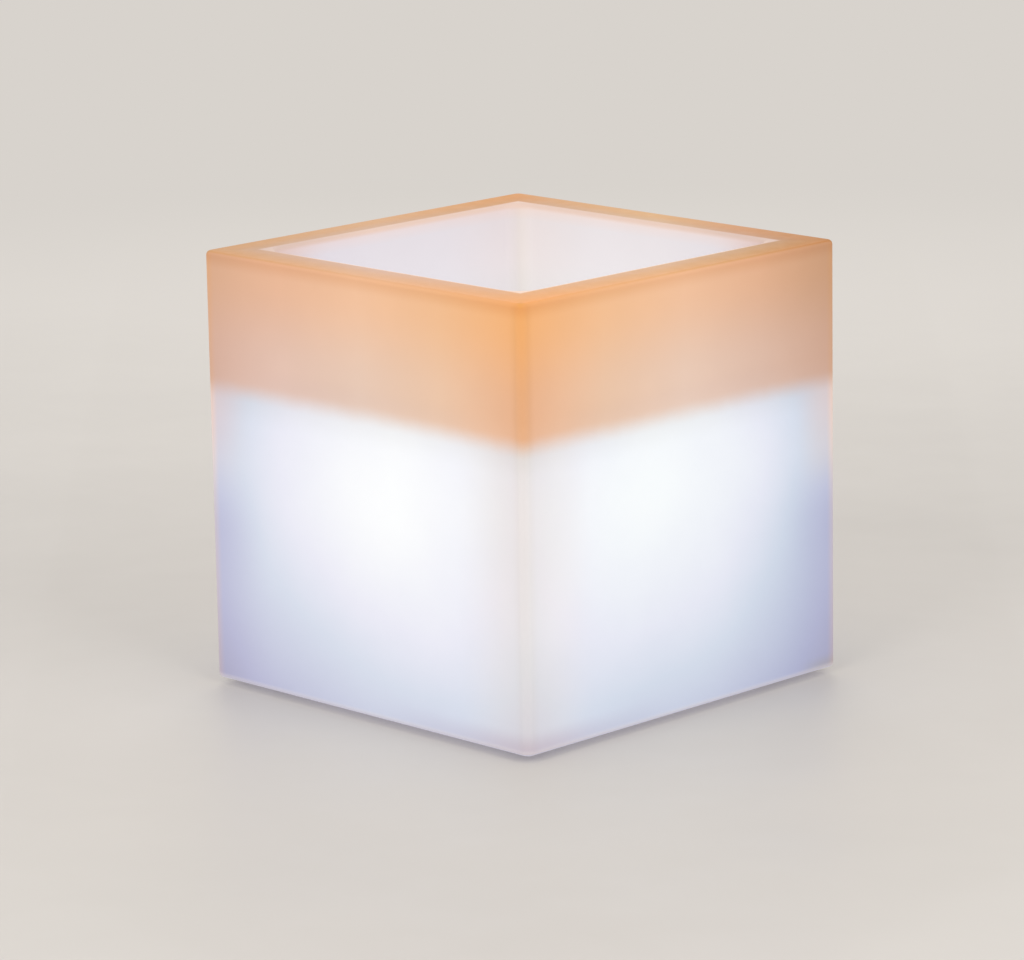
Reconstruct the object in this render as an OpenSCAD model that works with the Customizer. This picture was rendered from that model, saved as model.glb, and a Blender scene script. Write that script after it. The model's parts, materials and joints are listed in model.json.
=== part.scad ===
// Cube planter with a lit lower chamber, a shallow planting bowl and a
// rechargeable lamp that is screwed into a port in its underside.
// Millimetres. The origin is the centre of the footprint on the ground.

/* [Planter body] */
// Width and depth of the cube
side = 400; // [340:5:520]
// Overall height, feet included
height = 400; // [340:5:520]
// Thickness of the moulded wall
wall = 5; // [4:0.5:6]
// Radius of the four upright corners
corner_r = 8; // [7:1:20]
// Radius of the outer edge of the rim
rim_edge_r = 4; // [2:0.5:5]
// Radius where the walls meet the underside
base_edge_r = 4; // [2:0.5:5]
// Width of the flat rim around the bowl
rim_w = 40; // [26:1:56]
// Radius of the rim's inner edge
lip_r = 4; // [2:0.5:5]
// Depth of the planting bowl below the rim
bowl_depth = 127; // [80:1:170]
// Radius of the bowl's upright corners
bowl_corner_r = 20; // [12:1:28]
// Radius between the bowl's walls and its floor
bowl_floor_r = 10; // [4:1:10]

/* [Feet] */
// Gap between the ground and the underside
foot_gap = 6; // [4:0.5:10]
// Radius of a rubber foot
foot_r = 18; // [15:1:24]
// Depth that a foot is let into the body
foot_seat = 3; // [2:0.5:4]
// Distance from the body's sides to the middle of a foot
foot_inset = 50; // [34:1:60]
// Radius of the rounded rim of a foot
foot_edge_r = 1.5; // [0.5:0.5:2]
// Depth of the screw's counterbore in a foot
foot_bore_depth = 4.5; // [3.5:0.5:5.5]

/* [Base port and cover] */
// Thickness of the cover plate
cover_t = 3; // [2.5:0.5:4]
// How far the cover plate sits above the underside
cover_recess = 3.5; // [2.5:0.5:6]
// Thickness of the cover's gasket
gasket_t = 1.5; // [1:0.5:2.5]
// Width of the gasket
gasket_w = 16; // [14:1:20]
// Height of the cover's locating ring
spigot_h = 8; // [5:0.5:10]
// Thickness of the cover's locating ring
spigot_t = 2.5; // [2:0.5:4]
// Number of screws that hold the cover
cover_screw_count = 6; // [4:1:8]
// Length of a cover screw's shank
cover_screw_len = 14; // [12:1:16]
// Length of a foot screw's shank
foot_screw_len = 14; // [12:1:16]

/* [Threaded inserts] */
// Outer radius of a brass insert
insert_r = 4; // [3.5:0.25:5]
// Height of a brass insert
insert_h = 10; // [8:0.5:12]
// Radius of a moulded boss round an insert
boss_r = 8; // [7:0.5:9]
// Depth of the pocket above an insert
boss_tip_room = 4; // [3:0.5:6]
// Thickness that closes the top of a boss
boss_cap = 3; // [2:0.5:4]

/* [Large screws] */
// Radius of the thread
screw_r = 2; // [1.5:0.25:2.5]
// Radius of the head
screw_head_r = 3.75; // [3.25:0.25:4.25]
// Height of the head
screw_head_h = 2.4; // [2:0.1:3]

/* [Small screws] */
// Radius of the thread
small_screw_r = 1.5; // [1.25:0.05:1.6]
// Radius of the head
small_head_r = 2.75; // [2.5:0.05:3]
// Height of the head
small_head_h = 1.8; // [1.5:0.1:2]
// Length of the shank
small_screw_len = 8; // [7:0.5:9]

/* [Lamp housing] */
// Inner radius of the housing
housing_r = 78; // [77:1:92]
// Thickness of the housing's side
housing_wall = 2.5; // [2:0.25:3.5]
// Height of the housing
housing_h = 52; // [50:1:70]
// Thickness of the housing's top
housing_top_t = 2.5; // [2:0.25:4]
// Radius of the housing's screw bosses
housing_boss_r = 4.5; // [3.5:0.25:5]
// Height of the housing's lower screw bosses
housing_boss_h = 16; // [12:1:20]
// Depth of the bosses under the housing's top
top_boss_h = 8; // [7:0.5:10]
// Radius of the hole for the lamp's lead
lead_hole_r = 4; // [3:0.25:5]

/* [Lamp and dome] */
// Radius of the lamp board
led_board_r = 55; // [50:1:56]
// Thickness of the lamp board
led_board_t = 1.6; // [1:0.1:2]
// Side of one lamp chip
chip_w = 5; // [3:0.5:6]
// Height of one lamp chip
chip_h = 1.4; // [1:0.1:2]
// Radius of the lamp board's screw circle
led_screw_circle = 49; // [47:0.5:50]
// Inner radius of the opal dome
dome_r = 60; // [59:0.5:64]
// Thickness of the dome
dome_wall = 2; // [1.5:0.25:3]
// Height of the dome's straight side
dome_skirt = 6; // [5:0.5:12]
// Height of the dome's crown above its side
dome_rise = 22; // [14:1:34]
// Width of the dome's flange
dome_flange_w = 12; // [11:0.5:13]
// Thickness of the dome's flange
dome_flange_t = 2.5; // [2:0.25:3.5]
// Thickness of the dome's seal
dome_seal_t = 1; // [0.8:0.1:2]

/* [Battery] */
// Diameter of one cell
cell_d = 18.4; // [18:0.1:18.6]
// Length of one cell
cell_l = 65; // [60:0.5:66]
// Number of cells side by side
cell_count = 3; // [2:1:3]
// Thickness of the nickel links on the cells' ends
link_t = 0.4; // [0.3:0.1:0.6]
// Width of the nickel links
link_w = 8; // [6:0.5:10]
// Thickness of the tray's walls and floor
tray_t = 1.5; // [1.2:0.1:2]
// Height of the tray's walls above its floor
tray_wall_h = 10; // [8:0.5:12]
// Thickness of the two saddles that hold the cells
saddle_t = 2; // [1.5:0.25:3]
// Height of the saddles above the tray's floor
saddle_h = 5; // [3:0.5:7]
// Width of a battery strap
strap_w = 12; // [10:0.5:14]
// Thickness of a battery strap
strap_t = 1.2; // [1:0.1:1.6]
// Length of a strap's foot
strap_tab = 9; // [8:0.5:10]
// Height of the posts under the straps' feet
strap_post_h = 6; // [5:0.5:9]

/* [Control board] */
// Width of the board
board_w = 58; // [56:0.5:60]
// Depth of the board
board_d = 42; // [40:0.5:43]
// Thickness of the board
board_t = 1.6; // [1:0.1:2]
// Height of the board's posts above the cover
board_post_h = 18.5; // [18:0.5:22]
// Radius of the board's posts
board_post_r = 3; // [2.5:0.1:3.2]
// Distance from the board's edges to its screws
board_screw_inset = 4; // [3.5:0.25:5]
// Height of a plug-in connector on the board
plug_h = 6; // [5:0.5:8]

/* [Power button] */
// Radius of the button's cap
button_r = 7.5; // [6:0.25:8]
// Running clearance round the button's cap
button_fit = 0.3; // [0.2:0.05:0.5]
// How far the cap stands out of the cover
button_proud = 1.5; // [0.5:0.25:2.5]
// Width of the flange that keeps the cap in
button_flange_w = 2; // [1.5:0.25:3]
// Thickness of that flange
button_flange_t = 1.5; // [1:0.25:2]
// Side of the switch under the board
switch_w = 8.5; // [7:0.25:10]
// Height of the switch
switch_h = 8; // [7:0.25:9]
// Side of the switch's plunger
plunger_w = 3; // [2.5:0.25:3.5]
// Length of plunger that stands out of the switch
plunger_proud = 2; // [1.5:0.25:3]

/* [Charging bay] */
// Length of the bay in the cover
bay_l = 42; // [40:0.5:44]
// Width of the bay
bay_w = 18; // [16:0.5:19]
// Depth of the bay from the cover's underside
bay_depth = 13; // [12:0.5:15]
// Thickness of the bay's walls and roof
bay_t = 2; // [1.5:0.25:2.5]
// Radius of the bay's corners
bay_corner_r = 4; // [2:0.5:6]
// Radius of the socket's barrel
jack_r = 5.5; // [5:0.25:6]
// Radius of the socket's mouth
jack_bore_r = 3.2; // [3:0.1:3.5]
// Depth of the socket's mouth
jack_bore_depth = 9.5; // [9:0.5:12]
// Radius of the socket's flange
jack_flange_r = 7; // [6.5:0.25:8]
// Thickness of the socket's flange
jack_flange_t = 2; // [1.5:0.25:2.5]
// Length of the socket's barrel above its flange
jack_barrel_l = 15.5; // [14:0.5:18]
// Thickness of the socket's nut
nut_t = 3; // [2.5:0.25:4]

/* [Socket cap] */
// Radius of the rubber cap
cap_r = 7.5; // [7:0.25:8]
// Thickness of the cap
cap_t = 2; // [1.5:0.25:2.5]
// Distance from the socket to the cap's hinge
cap_reach = 15; // [13.5:0.25:16]
// Width of the cap's strap
cap_strap_w = 5; // [4:0.5:7]
// Thickness of the cap's strap
cap_strap_t = 1.2; // [1:0.1:1.4]
// Radius of the stub that enters the socket
cap_stub_r = 2.7; // [2.4:0.1:2.7]
// Length of the stub
cap_stub_h = 2.1; // [1.5:0.1:2.2]

/* [Hidden] */
$fn = 64;

// Clearances, each named once
eps = 0.01;          // overlap that makes a cut run clear through a face
cut = 1;             // how far a cutting shape runs past a face
thread_gap = 0.05;   // between a thread and the hole it bites into
through_gap = 0.25;  // between a screw and a hole that it passes
pilot_room = 0.5;    // past the tip of a screw in a blind hole
foot_fit = 0.2;      // between a foot and its seat
foot_head_gap = 1;   // round a screw's head in a foot
housing_gap = 1.5;   // between the housing and the locating ring
port_gap = 1.5;      // between the locating ring and the port
gasket_gap = 2;      // between the port and the gasket
cover_gap = 2;       // round the cover plate, in its recess
cover_margin = 2;    // from the gasket to the cover's edge
cell_gap = 0.2;      // between cells, and under them
tray_gap = 0.3;      // between the cells' ends and the tray
strap_gap = 0.2;     // between the tray and a strap
plunger_gap = 0.3;   // round the plunger in the switch
cap_gap = 0.3;       // between the socket and its rubber cap
hinge_gap = 0.6;     // between the cap's strap and its anchor

// Heights
underside = foot_gap;
cover_low = underside + cover_recess;
cover_top = cover_low + cover_t;
port_ceiling = cover_top + gasket_t;
bowl_floor = height - bowl_depth;
housing_top = cover_top + housing_h;
led_top = housing_top + led_board_t;
dome_base = housing_top + dome_seal_t;

// Radii of the port, from the housing outwards
spigot_r = housing_r + housing_wall + housing_gap;
port_r = spigot_r + spigot_t + port_gap;
gasket_r = port_r + gasket_gap;
screw_circle = gasket_r + gasket_w / 2;
cover_r = gasket_r + gasket_w + cover_margin;
recess_r = cover_r + cover_gap;

// Places of what repeats
foot_spots = [for (x = [-1, 1], y = [-1, 1]) [x, y] * (side / 2 - foot_inset)];
cover_turn = 30;     // degrees from +X to the first cover screw
cover_spots = ring_spots(cover_screw_count, screw_circle, cover_turn);
housing_boss_bite = 0.5; // how far a boss runs into the housing's side
housing_boss_circle = housing_r - housing_boss_r + housing_boss_bite;
top_boss_r = housing_boss_r - 0.5;
housing_spots = ring_spots(4, housing_boss_circle, 0);
dome_screw_circle = dome_r + dome_wall + dome_flange_w / 2;
dome_spots = ring_spots(4, dome_screw_circle, 45);
led_spots = ring_spots(3, led_screw_circle, 90);
chip_rings = [[8, 15], [14, 28], [20, 41]]; // chips in a ring, and its radius

// Battery, beside the middle of the cover
pack_y = -27;
cell_pitch = cell_d + cell_gap;
tray_in_x = cell_l / 2 + link_t + tray_gap;
tray_in_y = cell_count * cell_pitch / 2 + tray_gap;
tray_floor = cover_top + tray_t;
cell_z = tray_floor + cell_gap + cell_d / 2;
strap_x = 20;
saddle_x = 12;
strap_leg_y = tray_in_y + tray_t + strap_gap;
strap_screw_y = strap_leg_y + strap_t + strap_tab / 2;
strap_seat = cover_top + strap_post_h;
strap_post_r = 0.4 * strap_tab;
strap_top = cell_z + cell_d / 2 + cell_gap;
strap_spots = [for (x = [-1, 1], y = [-1, 1]) [x * strap_x, pack_y + y * strap_screw_y]];

// Control board, its parts and the button below it
board_x = -19;
board_y = 30;
board_z = cover_top + board_post_h;
board_top = board_z + board_t;
board_spots = [for (x = [-1, 1], y = [-1, 1])
    [board_x + x * (board_w / 2 - board_screw_inset), board_y + y * (board_d / 2 - board_screw_inset)]];
button_x = -30;
button_y = 34;
button_low = cover_low - button_proud;
button_flange_top = cover_top + button_flange_t;
switch_low = board_z - switch_h;
plunger_low = switch_low - plunger_proud;
button_stem_r = 0.4 * button_r;
button_edge_r = 1;
plunger_room = 4.5;  // depth of the switch's well
plunger_in = 2.5;    // length of plunger inside the well
plug_w = 8;
plug_d = 6;
driver_size = [10, 10, 2];
regulator_size = [6, 5, 1.5];
coil_r = 5;
coil_h = 5;
large_can_r = 4;
large_can_h = 8;
small_can_r = 2.5;
small_can_h = 7;
// How far each plug and part lies from the middle of the board
led_plug_off = [0, 12];
battery_plug_off = [9, -17];
jack_plug_off = [25, 4];
driver_off = [-15, -8];
regulator_off = [-17, 8];
coil_off = [5, -2];
large_can_off = [17, 14];
small_can_off = [-9, -16];
board_mid = [board_x, board_y];
led_plug = board_mid + led_plug_off;
battery_plug = board_mid + battery_plug_off;
jack_plug = board_mid + jack_plug_off;
driver_at = board_mid + driver_off;
regulator_at = board_mid + regulator_off;
coil_at = board_mid + coil_off;
large_can_at = board_mid + large_can_off;
small_can_at = board_mid + small_can_off;

// Charging bay, socket and cap
bay_x = 16;
bay_y = 34;
jack_x = 30;
bay_roof = cover_low + bay_depth;
jack_low = bay_roof - jack_flange_t;
jack_top = bay_roof + jack_barrel_l;
jack_pin_r = 1.05;
jack_pin_recess = 3;
lug_w = 1;
lug_d = 2.2;
lug_h = 5;
lug_pitch = 3;
nut_corner_w = 2.5;  // from the socket's barrel to the nut's corners
pull_tab_l = 2.5;
cap_top = jack_low - cap_gap;
hinge_x = jack_x + cap_reach;
hinge_z = cap_top - cap_strap_t / 2;
anchor_x = hinge_x + cap_strap_t / 2 + hinge_gap;
anchor_l = 7;
anchor_w = cap_strap_w + 2;
rivet_x = anchor_x + anchor_l / 2;
rivet_r = 2;
rivet_head_r = 3.2;
rivet_head_h = 1.5;

// Leads: routes through the housing, square to what they meet, and their radius
lead_r = 1.5;
led_hole = [-10, 24];
plug_mid = board_top + plug_h / 2;
led_route = [
    [led_plug[0], led_plug[1], board_top + plug_h], [-19, 42, 43], [-18, 38.5, 48.5],
    [-14.5, 31.5, 54], [-11, 25.5, 58], [led_hole[0], led_hole[1], housing_top - housing_top_t - 1],
    [led_hole[0], led_hole[1], housing_top]
];
link_face = cell_l / 2 + link_t;
battery_route = [
    [-link_face, -9, cell_z + link_w / 2 - lead_r], [-36.5, -9, cell_z + link_w / 2 - lead_r],
    [-38.5, -8.5, 30], [-37.5, -7, 35], [-33, -4, 39], [-25, 0, 40.5], [-16, 4, 39.5], [-11, 5, 37.5],
    [battery_plug[0], 7, plug_mid], [battery_plug[0], battery_plug[1] - plug_d / 2, plug_mid]
];
jack_route = [
    [jack_x, bay_y, jack_top + lug_h], [30, 34, 46.5], [27.5, 34, 50], [22.5, 34, 50.5],
    [18.5, 34, 47], [17, 34, 42], [15.5, 34, 37.5], [13.5, 34, plug_mid],
    [jack_plug[0] + plug_w / 2, jack_plug[1], plug_mid]
];
lead_steps = 3;      // rings between two points of a route

function ring_spots(count, r, first) =
    [for (i = [0 : count - 1]) r * [cos(first + i * 360 / count), sin(first + i * 360 / count)]];

// Half of an edge profile: a block from the axis out to r, with its outer edges rounded
module post_profile(r, z0, z1, low_r, top_r) {
    difference() {
        translate([0, z0]) square([r, z1 - z0]);
        if (low_r > 0)
            difference() {
                translate([r - low_r, z0 - eps]) square([low_r + cut, low_r + eps]);
                translate([r - low_r, z0 + low_r]) circle(low_r);
            }
        if (top_r > 0)
            difference() {
                translate([r - top_r, z1 - top_r]) square([top_r + cut, top_r + eps]);
                translate([r - top_r, z1 - top_r]) circle(top_r);
            }
    }
}

// A square block whose upright corners have radius r and whose edges follow post_profile
module square_block(w, r, z0, z1, low_r = 0, top_r = 0) {
    reach = w / 2 - r;
    for (turn = [0, 90])
        rotate([90, 0, turn])
            linear_extrude(2 * reach, center = true) {
                translate([-reach - eps, z0]) square([2 * reach + 2 * eps, z1 - z0]);
                for (flip = [0, 1])
                    mirror([flip, 0]) translate([reach, 0]) post_profile(r, z0, z1, low_r, top_r);
            }
    for (x = [-1, 1], y = [-1, 1])
        translate([x * reach, y * reach, 0])
            rotate_extrude() post_profile(r, z0, z1, low_r, top_r);
}

module planter_body() {
    bowl_w = side - 2 * rim_w;
    hollow_r = max(corner_r - wall, 1);
    color("ivory")
        difference() {
            union() {
                difference() {
                    square_block(side, corner_r, underside, height, base_edge_r, rim_edge_r);
                    square_block(side - 2 * wall, hollow_r, underside + wall, height - wall);
                }
                square_block(bowl_w + 2 * wall, bowl_corner_r + wall, bowl_floor - wall,
                    height - wall / 2, bowl_floor_r + wall);
                translate([0, 0, underside + eps])
                    cylinder(r = recess_r + wall, h = port_ceiling + wall - underside - eps);
                for (p = cover_spots) insert_boss(p, port_ceiling);
                for (p = foot_spots) {
                    insert_boss(p, underside + foot_seat);
                    translate([p[0], p[1], underside + eps])
                        cylinder(r = foot_r + foot_fit + wall, h = foot_seat + wall - eps);
                }
            }
            square_block(bowl_w, bowl_corner_r, bowl_floor, height + cut, bowl_floor_r);
            lip_cut(bowl_w);
            translate([0, 0, underside - cut]) cylinder(r = recess_r, h = port_ceiling - underside + cut);
            translate([0, 0, underside]) cylinder(r = port_r, h = port_ceiling);
            for (p = cover_spots) insert_bore(p, port_ceiling);
            for (p = foot_spots) {
                insert_bore(p, underside + foot_seat);
                translate([p[0], p[1], underside - cut]) cylinder(r = foot_r + foot_fit, h = foot_seat + cut);
            }
        }
}

// What is taken off the rim's inner edge to round it
module lip_cut(w) {
    reach = w / 2 - bowl_corner_r;
    for (turn = [0, 90])
        rotate([90, 0, turn])
            linear_extrude(2 * reach, center = true)
                for (flip = [0, 1]) mirror([flip, 0]) translate([reach, 0]) lip_profile();
    for (x = [-1, 1], y = [-1, 1])
        translate([x * reach, y * reach, 0]) rotate_extrude() lip_profile();
}

module lip_profile() {
    difference() {
        translate([0, height - lip_r]) square([bowl_corner_r + lip_r, lip_r + cut]);
        translate([bowl_corner_r + lip_r, height - lip_r]) circle(lip_r);
    }
}

// Solid post above z that holds an insert, and its bore
module insert_boss(p, z) {
    translate([p[0], p[1], z - eps]) cylinder(r = boss_r, h = insert_h + boss_tip_room + boss_cap + eps);
}

module insert_bore(p, z) {
    translate([p[0], p[1], z - cut]) cylinder(r = insert_r, h = insert_h + cut);
    translate([p[0], p[1], z]) cylinder(r = screw_r + through_gap, h = insert_h + boss_tip_room);
}

module threaded_inserts() {
    color("goldenrod") {
        for (p = cover_spots) threaded_insert(p, port_ceiling);
        for (p = foot_spots) threaded_insert(p, underside + foot_seat);
    }
}

module threaded_insert(p, z) {
    translate([p[0], p[1], z])
        difference() {
            cylinder(r = insert_r, h = insert_h);
            translate([0, 0, -cut]) cylinder(r = screw_r + thread_gap, h = insert_h + 2 * cut);
        }
}

module feet() {
    color("dimgray")
        for (p = foot_spots)
            translate([p[0], p[1], 0])
                difference() {
                    rotate_extrude() post_profile(foot_r, 0, foot_gap + foot_seat, foot_edge_r, 0);
                    translate([0, 0, -cut])
                        cylinder(r = screw_head_r + foot_head_gap, h = foot_bore_depth + cut);
                    cylinder(r = screw_r + through_gap, h = foot_gap + foot_seat + cut);
                }
}

module foot_screws() {
    color("silver")
        for (p = foot_spots)
            translate([p[0], p[1], foot_bore_depth])
                screw(screw_r, screw_head_r, screw_head_h, foot_screw_len);
}

// A socket-head screw that is driven upwards, its head just below z = 0
module screw(r, head_r, head_h, len) {
    tip = r / 3;
    socket_r = 0.45 * head_r;
    socket_depth = 0.6 * head_h;
    difference() {
        translate([0, 0, -head_h]) cylinder(r = head_r, h = head_h);
        translate([0, 0, -head_h - cut]) cylinder(r = socket_r, h = socket_depth + cut, $fn = 6);
    }
    translate([0, 0, -eps]) cylinder(r = r, h = len - tip + eps);
    translate([0, 0, len - tip]) cylinder(r1 = r, r2 = r - tip, h = tip);
}

module base_cover() {
    color("whitesmoke")
        difference() {
            union() {
                translate([0, 0, cover_low]) cylinder(r = cover_r, h = cover_t);
                translate([0, 0, cover_top - eps])
                    difference() {
                        cylinder(r = spigot_r + spigot_t, h = spigot_h + eps);
                        translate([0, 0, -cut]) cylinder(r = spigot_r, h = spigot_h + 2 * cut);
                    }
                for (p = strap_spots)
                    translate([p[0], p[1], cover_top - eps])
                        cylinder(r = strap_post_r, h = strap_post_h + eps);
                for (p = board_spots)
                    translate([p[0], p[1], cover_top - eps])
                        cylinder(r = board_post_r, h = board_post_h + eps);
                bay_block(bay_t, cover_top - eps, bay_roof + bay_t);
            }
            bay_block(0, cover_low - cut, bay_roof);
            for (p = cover_spots)
                translate([p[0], p[1], cover_low - cut])
                    cylinder(r = screw_r + through_gap, h = cover_t + 2 * cut);
            for (p = housing_spots)
                translate([p[0], p[1], cover_low - cut])
                    cylinder(r = small_screw_r + through_gap, h = cover_t + 2 * cut);
            for (p = strap_spots) translate([p[0], p[1], strap_seat]) pilot_bore(small_screw_len - strap_t);
            for (p = board_spots) translate([p[0], p[1], board_z]) pilot_bore(small_screw_len - board_t);
            translate([button_x, button_y, cover_low - cut])
                cylinder(r = button_r + button_fit, h = cover_t + 2 * cut);
            translate([jack_x, bay_y, bay_roof - cut]) cylinder(r = jack_r + thread_gap, h = bay_t + 2 * cut);
            translate([rivet_x, bay_y, bay_roof - cut])
                cylinder(r = rivet_r + thread_gap, h = bay_t + 2 * cut);
        }
}

// Hole below z = 0 for a small screw whose shank reaches down by depth
module pilot_bore(depth) {
    translate([0, 0, -depth - pilot_room])
        cylinder(r = small_screw_r + thread_gap, h = depth + pilot_room + cut);
}

// The bay's block, grown sideways by grow
module bay_block(grow, z0, z1) {
    r = bay_corner_r + grow;
    translate([bay_x + bay_l / 2, bay_y, z0])
        linear_extrude(z1 - z0)
            union() {
                for (x = [-1, 1], y = [-1, 1])
                    translate([x * (bay_l / 2 - bay_corner_r), y * (bay_w / 2 - bay_corner_r)]) circle(r);
                square([bay_l + 2 * grow, bay_w - 2 * bay_corner_r], center = true);
                square([bay_l - 2 * bay_corner_r, bay_w + 2 * grow], center = true);
            }
}

module cover_gasket() {
    color("dimgray")
        difference() {
            translate([0, 0, cover_top]) cylinder(r = gasket_r + gasket_w, h = gasket_t);
            translate([0, 0, cover_top - cut]) cylinder(r = gasket_r, h = gasket_t + 2 * cut);
            for (p = cover_spots)
                translate([p[0], p[1], cover_top - cut])
                    cylinder(r = screw_r + 2 * through_gap, h = gasket_t + 2 * cut);
        }
}

module cover_screws() {
    color("silver")
        for (p = cover_spots)
            translate([p[0], p[1], cover_low]) screw(screw_r, screw_head_r, screw_head_h, cover_screw_len);
}

module light_housing() {
    color("gainsboro")
        difference() {
            union() {
                difference() {
                    translate([0, 0, cover_top]) cylinder(r = housing_r + housing_wall, h = housing_h);
                    translate([0, 0, cover_top - cut])
                        cylinder(r = housing_r, h = housing_h - housing_top_t + cut);
                }
                for (p = housing_spots)
                    translate([p[0], p[1], cover_top]) cylinder(r = housing_boss_r, h = housing_boss_h);
                for (p = concat(dome_spots, led_spots))
                    translate([p[0], p[1], housing_top - housing_top_t - top_boss_h])
                        cylinder(r = top_boss_r, h = top_boss_h + eps);
            }
            for (p = housing_spots)
                translate([p[0], p[1], cover_top - cut])
                    cylinder(r = small_screw_r + thread_gap, h = small_screw_len + cut);
            for (p = dome_spots) translate([p[0], p[1], housing_top]) pilot_bore(small_screw_len);
            for (p = led_spots)
                translate([p[0], p[1], housing_top]) pilot_bore(small_screw_len - led_board_t);
            translate([led_hole[0], led_hole[1], housing_top - housing_top_t - cut])
                cylinder(r = lead_hole_r, h = housing_top_t + 2 * cut);
        }
}

module housing_screws() {
    color("silver")
        for (p = housing_spots)
            translate([p[0], p[1], cover_low])
                screw(small_screw_r, small_head_r, small_head_h, cover_t + small_screw_len - pilot_room);
}

module led_board() {
    color("white")
        difference() {
            translate([0, 0, housing_top]) cylinder(r = led_board_r, h = led_board_t);
            for (p = led_spots)
                translate([p[0], p[1], housing_top - cut])
                    cylinder(r = small_screw_r + through_gap, h = led_board_t + 2 * cut);
        }
}

module led_chips() {
    lens_r = 0.36 * chip_w;
    lens_low = 0.6 * chip_h;
    color("khaki")
        for (ring = chip_rings, p = ring_spots(ring[0], ring[1], 9))
            translate([p[0], p[1], led_top])
                rotate([0, 0, atan2(p[1], p[0])])
                    difference() {
                        translate([-chip_w / 2, -chip_w / 2, 0]) cube([chip_w, chip_w, chip_h]);
                        translate([0, 0, lens_low]) cylinder(r = lens_r, h = chip_h, $fn = 24);
                    }
}

// A small screw that is driven downwards, its head resting on z = 0
module down_screw() {
    mirror([0, 0, 1]) screw(small_screw_r, small_head_r, small_head_h, small_screw_len);
}

module led_board_screws() {
    color("silver") for (p = led_spots) translate([p[0], p[1], led_top]) down_screw();
}

module dome_ring(z, t) {
    difference() {
        translate([0, 0, z]) cylinder(r = dome_r + dome_wall + dome_flange_w, h = t);
        translate([0, 0, z - cut]) cylinder(r = dome_r, h = t + 2 * cut);
        for (p = dome_spots)
            translate([p[0], p[1], z - cut]) cylinder(r = small_screw_r + through_gap, h = t + 2 * cut);
    }
}

module dome_seal() {
    color("dimgray") dome_ring(housing_top, dome_seal_t);
}

module led_dome() {
    color("white") {
        dome_ring(dome_base, dome_flange_t);
        rotate_extrude($fn = 96)
            difference() {
                dome_profile(dome_r + dome_wall, dome_base + dome_skirt, dome_rise + dome_wall);
                dome_profile(dome_r, dome_base + dome_skirt, dome_rise);
            }
    }
}

// Half outline of a dome: straight side up to z, then a round crown
module dome_profile(r, z, rise) {
    crown_r = (r * r + rise * rise) / (2 * rise);
    translate([0, dome_base]) square([r, z - dome_base]);
    intersection() {
        translate([0, z - eps]) square([r, rise + eps]);
        translate([0, z + rise - crown_r]) circle(crown_r, $fn = 180);
    }
}

module dome_screws() {
    color("silver")
        for (p = dome_spots)
            translate([p[0], p[1], dome_base + dome_flange_t])
                mirror([0, 0, 1])
                    screw(small_screw_r, small_head_r, small_head_h, small_screw_len + dome_flange_t);
}

module battery_tray() {
    color("darkslategray")
        translate([0, pack_y, cover_top])
            difference() {
                tray_block(tray_t, 0, tray_t + tray_wall_h);
                difference() {
                    tray_block(0, tray_t, tray_t + tray_wall_h + cut);
                    for (x = [-1, 1])
                        translate([x * saddle_x - saddle_t / 2, -tray_in_y - eps, 0])
                            cube([saddle_t, 2 * (tray_in_y + eps), tray_t + saddle_h]);
                }
                for (i = [0 : cell_count - 1])
                    translate([0, (i - (cell_count - 1) / 2) * cell_pitch, cell_z - cover_top])
                        rotate([0, 90, 0])
                            cylinder(r = (cell_d + cell_gap) / 2, h = 2 * tray_in_x, center = true);
            }
}

// A block round the cells' places, grown sideways by grow
module tray_block(grow, z0, z1) {
    translate([-tray_in_x - grow, -tray_in_y - grow, z0])
        cube([2 * (tray_in_x + grow), 2 * (tray_in_y + grow), z1 - z0]);
}

module battery_cells() {
    color("seagreen")
        for (i = [0 : cell_count - 1])
            translate([0, pack_y + (i - (cell_count - 1) / 2) * cell_pitch, cell_z])
                rotate([0, 90, 0]) cylinder(r = cell_d / 2, h = cell_l, center = true);
}

module cell_links() {
    color("silver")
        for (x = [-1, 1])
            translate([x * (cell_l / 2 + link_t / 2), pack_y, cell_z])
                cube([link_t, (cell_count - 0.5) * cell_pitch, link_w], center = true);
}

module battery_straps() {
    color("silver")
        for (x = [-1, 1])
            translate([x * strap_x - strap_w / 2, pack_y, 0]) {
                translate([0, -strap_leg_y - strap_t, strap_top])
                    cube([strap_w, 2 * (strap_leg_y + strap_t), strap_t]);
                for (flip = [0, 1])
                    mirror([0, flip, 0]) strap_leg();
            }
}

module strap_leg() {
    translate([0, strap_leg_y, strap_seat]) cube([strap_w, strap_t, strap_top - strap_seat + eps]);
    difference() {
        translate([0, strap_leg_y, strap_seat]) cube([strap_w, strap_t + strap_tab, strap_t]);
        translate([strap_w / 2, strap_screw_y, strap_seat - cut])
            cylinder(r = small_screw_r + through_gap, h = strap_t + 2 * cut);
    }
}

module strap_screws() {
    color("silver") for (p = strap_spots) translate([p[0], p[1], strap_seat + strap_t]) down_screw();
}

module control_board() {
    color("darkgreen")
        difference() {
            translate([board_x - board_w / 2, board_y - board_d / 2, board_z])
                cube([board_w, board_d, board_t]);
            for (p = board_spots)
                translate([p[0], p[1], board_z - cut])
                    cylinder(r = small_screw_r + through_gap, h = board_t + 2 * cut);
        }
}

module board_parts() {
    color("dimgray")
        translate([0, 0, board_top]) {
            for (p = [led_plug, battery_plug, jack_plug])
                translate([p[0] - plug_w / 2, p[1] - plug_d / 2, 0]) cube([plug_w, plug_d, plug_h]);
            translate(driver_at) cube(driver_size);
            translate(regulator_at) cube(regulator_size);
            translate(coil_at) cylinder(r = coil_r, h = coil_h);
            translate(large_can_at) cylinder(r = large_can_r, h = large_can_h);
            translate(small_can_at) cylinder(r = small_can_r, h = small_can_h);
        }
}

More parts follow.
